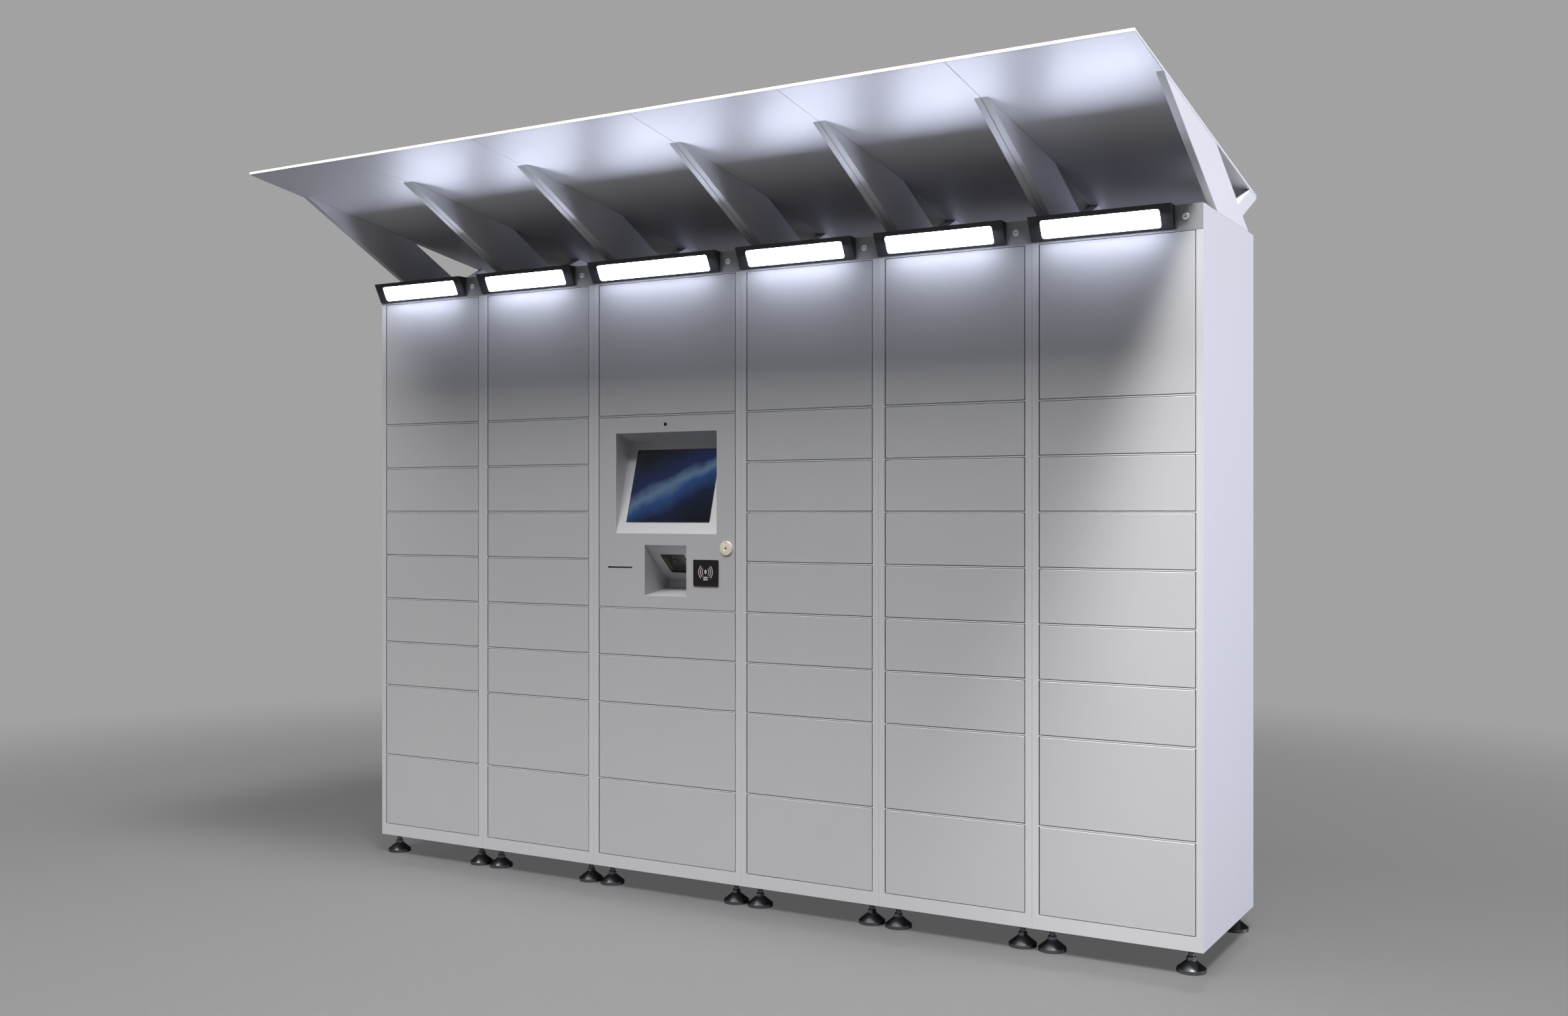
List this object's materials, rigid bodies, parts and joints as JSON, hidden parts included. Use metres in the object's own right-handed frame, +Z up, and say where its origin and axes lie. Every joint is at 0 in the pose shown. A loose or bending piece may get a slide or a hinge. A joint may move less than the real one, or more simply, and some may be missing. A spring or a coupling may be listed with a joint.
{
  "type": "parcel locker",
  "caption": "Outdoor bank of sheet-steel parcel compartments with hinged doors, a touch-screen panel, a lit header and a lean-to canopy.",
  "frame": {"origin": "on the floor, under the middle of the whole object's box, which is the canopy's middle", "axes": "+Z up; the doors face -Y, and their front plane is y = 0; +X to the right of someone facing the doors"},
  "size_m": [2.85, 1.146, 2.253],
  "materials": {
    "door_steel": "satin",
    "cabinet_steel": "satin",
    "canopy_steel": "satin",
    "screen_glass": "gloss",
    "scanner_glass": "gloss",
    "light_lens": "satin",
    "bright_steel": "polished",
    "dark_plastic": "satin"
  },
  "bodies": {
    "cabinets": {"cabinet_1": "cabinet_steel", "cabinet_2": "cabinet_steel", "cabinet_3": "cabinet_steel", "cabinet_4": "cabinet_steel", "cabinet_5": "cabinet_steel", "cabinet_6": "cabinet_steel", "canopy": "canopy_steel"},
    "door_1_large_2": {"door_1_large_2": "door_steel"},
    "door_1_large_1": {"door_1_large_1": "door_steel"},
    "door_1_small_6": {"door_1_small_6": "door_steel"},
    "door_1_small_5": {"door_1_small_5": "door_steel"},
    "door_1_small_4": {"door_1_small_4": "door_steel"},
    "door_1_small_3": {"door_1_small_3": "door_steel"},
    "door_1_small_2": {"door_1_small_2": "door_steel"},
    "door_1_small_1": {"door_1_small_1": "door_steel"},
    "door_1_tall": {"door_1_tall": "door_steel"},
    "door_2_large_2": {"door_2_large_2": "door_steel"},
    "door_2_large_1": {"door_2_large_1": "door_steel"},
    "door_2_small_6": {"door_2_small_6": "door_steel"},
    "door_2_small_5": {"door_2_small_5": "door_steel"},
    "door_2_small_4": {"door_2_small_4": "door_steel"},
    "door_2_small_3": {"door_2_small_3": "door_steel"},
    "door_2_small_2": {"door_2_small_2": "door_steel"},
    "door_2_small_1": {"door_2_small_1": "door_steel"},
    "door_2_tall": {"door_2_tall": "door_steel"},
    "door_3_large_2": {"door_3_large_2": "door_steel"},
    "door_3_large_1": {"door_3_large_1": "door_steel"},
    "door_3_small_6": {"door_3_small_6": "door_steel"},
    "door_3_small_5": {"door_3_small_5": "door_steel"},
    "service_panel": {"service_panel": "door_steel", "touch_screen": "screen_glass", "barcode_scanner": "scanner_glass"},
    "door_3_tall": {"door_3_tall": "door_steel"},
    "door_4_large_2": {"door_4_large_2": "door_steel"},
    "door_4_large_1": {"door_4_large_1": "door_steel"},
    "door_4_small_6": {"door_4_small_6": "door_steel"},
    "door_4_small_5": {"door_4_small_5": "door_steel"},
    "door_4_small_4": {"door_4_small_4": "door_steel"},
    "door_4_small_3": {"door_4_small_3": "door_steel"},
    "door_4_small_2": {"door_4_small_2": "door_steel"},
    "door_4_small_1": {"door_4_small_1": "door_steel"},
    "door_4_tall": {"door_4_tall": "door_steel"},
    "door_5_large_2": {"door_5_large_2": "door_steel"},
    "door_5_large_1": {"door_5_large_1": "door_steel"},
    "door_5_small_6": {"door_5_small_6": "door_steel"},
    "door_5_small_5": {"door_5_small_5": "door_steel"},
    "door_5_small_4": {"door_5_small_4": "door_steel"},
    "door_5_small_3": {"door_5_small_3": "door_steel"},
    "door_5_small_2": {"door_5_small_2": "door_steel"},
    "door_5_small_1": {"door_5_small_1": "door_steel"},
    "door_5_tall": {"door_5_tall": "door_steel"},
    "door_6_large_2": {"door_6_large_2": "door_steel"},
    "door_6_large_1": {"door_6_large_1": "door_steel"},
    "door_6_small_6": {"door_6_small_6": "door_steel"},
    "door_6_small_5": {"door_6_small_5": "door_steel"},
    "door_6_small_4": {"door_6_small_4": "door_steel"},
    "door_6_small_3": {"door_6_small_3": "door_steel"},
    "door_6_small_2": {"door_6_small_2": "door_steel"},
    "door_6_small_1": {"door_6_small_1": "door_steel"},
    "door_6_tall": {"door_6_tall": "door_steel"}
  },
  "joints": [
    {"name": "door_1_large_2_hinge", "type": "hinge", "parent": "cabinets", "child": "door_1_large_2", "pos_m": [-1.3985, 0.0045, 0.2195], "axis": [0, 0, -1], "range_deg": [0, 105]},
    {"name": "door_1_large_1_hinge", "type": "hinge", "parent": "cabinets", "child": "door_1_large_1", "pos_m": [-1.3985, 0.0045, 0.4605], "axis": [0, 0, -1], "range_deg": [0, 105]},
    {"name": "door_1_small_6_hinge", "type": "hinge", "parent": "cabinets", "child": "door_1_small_6", "pos_m": [-1.3985, 0.0045, 0.656], "axis": [0, 0, -1], "range_deg": [0, 105]},
    {"name": "door_1_small_5_hinge", "type": "hinge", "parent": "cabinets", "child": "door_1_small_5", "pos_m": [-1.3985, 0.0045, 0.806], "axis": [0, 0, -1], "range_deg": [0, 105]},
    {"name": "door_1_small_4_hinge", "type": "hinge", "parent": "cabinets", "child": "door_1_small_4", "pos_m": [-1.3985, 0.0045, 0.956], "axis": [0, 0, -1], "range_deg": [0, 105]},
    {"name": "door_1_small_3_hinge", "type": "hinge", "parent": "cabinets", "child": "door_1_small_3", "pos_m": [-1.3985, 0.0045, 1.106], "axis": [0, 0, -1], "range_deg": [0, 105]},
    {"name": "door_1_small_2_hinge", "type": "hinge", "parent": "cabinets", "child": "door_1_small_2", "pos_m": [-1.3985, 0.0045, 1.256], "axis": [0, 0, -1], "range_deg": [0, 105]},
    {"name": "door_1_small_1_hinge", "type": "hinge", "parent": "cabinets", "child": "door_1_small_1", "pos_m": [-1.3985, 0.0045, 1.406], "axis": [0, 0, -1], "range_deg": [0, 105]},
    {"name": "door_1_tall_hinge", "type": "hinge", "parent": "cabinets", "child": "door_1_tall", "pos_m": [-1.3985, 0.0045, 1.691], "axis": [0, 0, -1], "range_deg": [0, 105]},
    {"name": "door_2_large_2_hinge", "type": "hinge", "parent": "cabinets", "child": "door_2_large_2", "pos_m": [-0.9385, 0.0045, 0.2195], "axis": [0, 0, -1], "range_deg": [0, 105]},
    {"name": "door_2_large_1_hinge", "type": "hinge", "parent": "cabinets", "child": "door_2_large_1", "pos_m": [-0.9385, 0.0045, 0.4605], "axis": [0, 0, -1], "range_deg": [0, 105]},
    {"name": "door_2_small_6_hinge", "type": "hinge", "parent": "cabinets", "child": "door_2_small_6", "pos_m": [-0.9385, 0.0045, 0.656], "axis": [0, 0, -1], "range_deg": [0, 105]},
    {"name": "door_2_small_5_hinge", "type": "hinge", "parent": "cabinets", "child": "door_2_small_5", "pos_m": [-0.9385, 0.0045, 0.806], "axis": [0, 0, -1], "range_deg": [0, 105]},
    {"name": "door_2_small_4_hinge", "type": "hinge", "parent": "cabinets", "child": "door_2_small_4", "pos_m": [-0.9385, 0.0045, 0.956], "axis": [0, 0, -1], "range_deg": [0, 105]},
    {"name": "door_2_small_3_hinge", "type": "hinge", "parent": "cabinets", "child": "door_2_small_3", "pos_m": [-0.9385, 0.0045, 1.106], "axis": [0, 0, -1], "range_deg": [0, 105]},
    {"name": "door_2_small_2_hinge", "type": "hinge", "parent": "cabinets", "child": "door_2_small_2", "pos_m": [-0.9385, 0.0045, 1.256], "axis": [0, 0, -1], "range_deg": [0, 105]},
    {"name": "door_2_small_1_hinge", "type": "hinge", "parent": "cabinets", "child": "door_2_small_1", "pos_m": [-0.9385, 0.0045, 1.406], "axis": [0, 0, -1], "range_deg": [0, 105]},
    {"name": "door_2_tall_hinge", "type": "hinge", "parent": "cabinets", "child": "door_2_tall", "pos_m": [-0.9385, 0.0045, 1.691], "axis": [0, 0, -1], "range_deg": [0, 105]},
    {"name": "door_3_large_2_hinge", "type": "hinge", "parent": "cabinets", "child": "door_3_large_2", "pos_m": [-0.4785, 0.0045, 0.2195], "axis": [0, 0, -1], "range_deg": [0, 105]},
    {"name": "door_3_large_1_hinge", "type": "hinge", "parent": "cabinets", "child": "door_3_large_1", "pos_m": [-0.4785, 0.0045, 0.4605], "axis": [0, 0, -1], "range_deg": [0, 105]},
    {"name": "door_3_small_6_hinge", "type": "hinge", "parent": "cabinets", "child": "door_3_small_6", "pos_m": [-0.4785, 0.0045, 0.656], "axis": [0, 0, -1], "range_deg": [0, 105]},
    {"name": "door_3_small_5_hinge", "type": "hinge", "parent": "cabinets", "child": "door_3_small_5", "pos_m": [-0.4785, 0.0045, 0.806], "axis": [0, 0, -1], "range_deg": [0, 105]},
    {"name": "service_panel_hinge", "type": "hinge", "parent": "cabinets", "child": "service_panel", "pos_m": [-0.4785, 0.0045, 1.181], "axis": [0, 0, -1], "range_deg": [0, 105]},
    {"name": "door_3_tall_hinge", "type": "hinge", "parent": "cabinets", "child": "door_3_tall", "pos_m": [-0.4785, 0.0045, 1.691], "axis": [0, 0, -1], "range_deg": [0, 105]},
    {"name": "door_4_large_2_hinge", "type": "hinge", "parent": "cabinets", "child": "door_4_large_2", "pos_m": [0.0715, 0.0045, 0.2195], "axis": [0, 0, -1], "range_deg": [0, 105]},
    {"name": "door_4_large_1_hinge", "type": "hinge", "parent": "cabinets", "child": "door_4_large_1", "pos_m": [0.0715, 0.0045, 0.4605], "axis": [0, 0, -1], "range_deg": [0, 105]},
    {"name": "door_4_small_6_hinge", "type": "hinge", "parent": "cabinets", "child": "door_4_small_6", "pos_m": [0.0715, 0.0045, 0.656], "axis": [0, 0, -1], "range_deg": [0, 105]},
    {"name": "door_4_small_5_hinge", "type": "hinge", "parent": "cabinets", "child": "door_4_small_5", "pos_m": [0.0715, 0.0045, 0.806], "axis": [0, 0, -1], "range_deg": [0, 105]},
    {"name": "door_4_small_4_hinge", "type": "hinge", "parent": "cabinets", "child": "door_4_small_4", "pos_m": [0.0715, 0.0045, 0.956], "axis": [0, 0, -1], "range_deg": [0, 105]},
    {"name": "door_4_small_3_hinge", "type": "hinge", "parent": "cabinets", "child": "door_4_small_3", "pos_m": [0.0715, 0.0045, 1.106], "axis": [0, 0, -1], "range_deg": [0, 105]},
    {"name": "door_4_small_2_hinge", "type": "hinge", "parent": "cabinets", "child": "door_4_small_2", "pos_m": [0.0715, 0.0045, 1.256], "axis": [0, 0, -1], "range_deg": [0, 105]},
    {"name": "door_4_small_1_hinge", "type": "hinge", "parent": "cabinets", "child": "door_4_small_1", "pos_m": [0.0715, 0.0045, 1.406], "axis": [0, 0, -1], "range_deg": [0, 105]},
    {"name": "door_4_tall_hinge", "type": "hinge", "parent": "cabinets", "child": "door_4_tall", "pos_m": [0.0715, 0.0045, 1.691], "axis": [0, 0, -1], "range_deg": [0, 105]},
    {"name": "door_5_large_2_hinge", "type": "hinge", "parent": "cabinets", "child": "door_5_large_2", "pos_m": [0.5315, 0.0045, 0.2195], "axis": [0, 0, -1], "range_deg": [0, 105]},
    {"name": "door_5_large_1_hinge", "type": "hinge", "parent": "cabinets", "child": "door_5_large_1", "pos_m": [0.5315, 0.0045, 0.4605], "axis": [0, 0, -1], "range_deg": [0, 105]},
    {"name": "door_5_small_6_hinge", "type": "hinge", "parent": "cabinets", "child": "door_5_small_6", "pos_m": [0.5315, 0.0045, 0.656], "axis": [0, 0, -1], "range_deg": [0, 105]},
    {"name": "door_5_small_5_hinge", "type": "hinge", "parent": "cabinets", "child": "door_5_small_5", "pos_m": [0.5315, 0.0045, 0.806], "axis": [0, 0, -1], "range_deg": [0, 105]},
    {"name": "door_5_small_4_hinge", "type": "hinge", "parent": "cabinets", "child": "door_5_small_4", "pos_m": [0.5315, 0.0045, 0.956], "axis": [0, 0, -1], "range_deg": [0, 105]},
    {"name": "door_5_small_3_hinge", "type": "hinge", "parent": "cabinets", "child": "door_5_small_3", "pos_m": [0.5315, 0.0045, 1.106], "axis": [0, 0, -1], "range_deg": [0, 105]},
    {"name": "door_5_small_2_hinge", "type": "hinge", "parent": "cabinets", "child": "door_5_small_2", "pos_m": [0.5315, 0.0045, 1.256], "axis": [0, 0, -1], "range_deg": [0, 105]},
    {"name": "door_5_small_1_hinge", "type": "hinge", "parent": "cabinets", "child": "door_5_small_1", "pos_m": [0.5315, 0.0045, 1.406], "axis": [0, 0, -1], "range_deg": [0, 105]},
    {"name": "door_5_tall_hinge", "type": "hinge", "parent": "cabinets", "child": "door_5_tall", "pos_m": [0.5315, 0.0045, 1.691], "axis": [0, 0, -1], "range_deg": [0, 105]},
    {"name": "door_6_large_2_hinge", "type": "hinge", "parent": "cabinets", "child": "door_6_large_2", "pos_m": [0.9915, 0.0045, 0.2195], "axis": [0, 0, -1], "range_deg": [0, 105]},
    {"name": "door_6_large_1_hinge", "type": "hinge", "parent": "cabinets", "child": "door_6_large_1", "pos_m": [0.9915, 0.0045, 0.4605], "axis": [0, 0, -1], "range_deg": [0, 105]},
    {"name": "door_6_small_6_hinge", "type": "hinge", "parent": "cabinets", "child": "door_6_small_6", "pos_m": [0.9915, 0.0045, 0.656], "axis": [0, 0, -1], "range_deg": [0, 105]},
    {"name": "door_6_small_5_hinge", "type": "hinge", "parent": "cabinets", "child": "door_6_small_5", "pos_m": [0.9915, 0.0045, 0.806], "axis": [0, 0, -1], "range_deg": [0, 105]},
    {"name": "door_6_small_4_hinge", "type": "hinge", "parent": "cabinets", "child": "door_6_small_4", "pos_m": [0.9915, 0.0045, 0.956], "axis": [0, 0, -1], "range_deg": [0, 105]},
    {"name": "door_6_small_3_hinge", "type": "hinge", "parent": "cabinets", "child": "door_6_small_3", "pos_m": [0.9915, 0.0045, 1.106], "axis": [0, 0, -1], "range_deg": [0, 105]},
    {"name": "door_6_small_2_hinge", "type": "hinge", "parent": "cabinets", "child": "door_6_small_2", "pos_m": [0.9915, 0.0045, 1.256], "axis": [0, 0, -1], "range_deg": [0, 105]},
    {"name": "door_6_small_1_hinge", "type": "hinge", "parent": "cabinets", "child": "door_6_small_1", "pos_m": [0.9915, 0.0045, 1.406], "axis": [0, 0, -1], "range_deg": [0, 105]},
    {"name": "door_6_tall_hinge", "type": "hinge", "parent": "cabinets", "child": "door_6_tall", "pos_m": [0.9915, 0.0045, 1.691], "axis": [0, 0, -1], "range_deg": [0, 105]}
  ]
}
